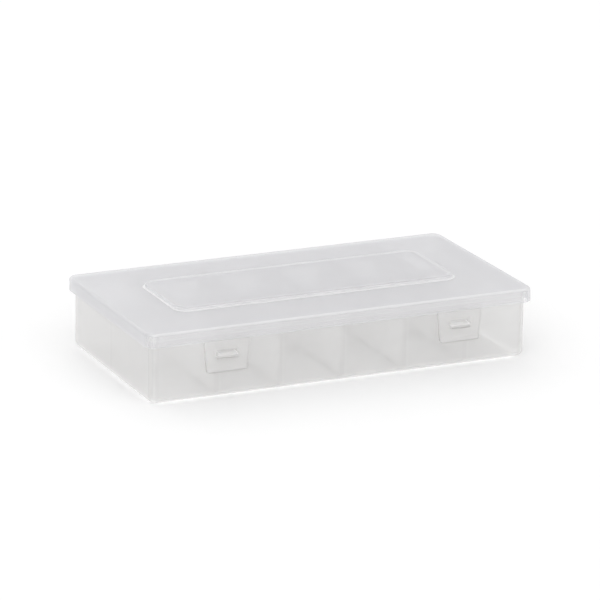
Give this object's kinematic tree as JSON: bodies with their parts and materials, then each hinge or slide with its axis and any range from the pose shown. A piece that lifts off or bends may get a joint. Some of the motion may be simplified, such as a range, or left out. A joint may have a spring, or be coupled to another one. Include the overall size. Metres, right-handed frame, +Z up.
{
  "type": "compartment organizer box",
  "caption": "Flat frosted plastic organizer box with rows of small-part compartments under one hinged lid with a raised centre panel and flap latches at the front",
  "frame": {"origin": "centre of the tray's flat underside", "axes": "+X along the length to the right seen from the front, +Y from the latches towards the hinges, +Z up"},
  "size_m": [0.275, 0.1499, 0.0503],
  "materials": {
    "tray_plastic": "frosted translucent polypropylene, satin",
    "divider_plastic": "frosted translucent polypropylene, satin",
    "lid_plastic": "frosted translucent polypropylene with a fine satin grain",
    "latch_plastic": "frosted translucent polypropylene, satin",
    "pin_plastic": "smooth moulded plastic rod"
  },
  "bodies": {
    "base": {"tray": "tray_plastic", "divider_long": "divider_plastic", "divider_front_1": "divider_plastic", "divider_front_2": "divider_plastic", "divider_front_3": "divider_plastic", "divider_front_4": "divider_plastic", "divider_front_5": "divider_plastic", "divider_rear_1": "divider_plastic", "divider_rear_2": "divider_plastic", "divider_rear_3": "divider_plastic", "divider_rear_4": "divider_plastic", "divider_rear_5": "divider_plastic", "hinge_pin_left": "pin_plastic", "hinge_pin_right": "pin_plastic"},
    "lid": {"lid": "lid_plastic"},
    "latch_left": {"latch_left": "latch_plastic"},
    "latch_right": {"latch_right": "latch_plastic"}
  },
  "joints": [
    {"name": "lid_hinge", "type": "hinge", "parent": "base", "child": "lid", "pos_m": [0, 0.0742, 0.0351], "axis": [-1, 0, 0], "range_deg": [0, 180]},
    {"name": "latch_left_hinge", "type": "hinge", "parent": "lid", "child": "latch_left", "pos_m": [-0.083, -0.0706, 0.03845], "axis": [-1, 0, 0], "range_deg": [0, 95]},
    {"name": "latch_right_hinge", "type": "hinge", "parent": "lid", "child": "latch_right", "pos_m": [0.083, -0.0706, 0.03845], "axis": [-1, 0, 0], "range_deg": [0, 95]}
  ]
}
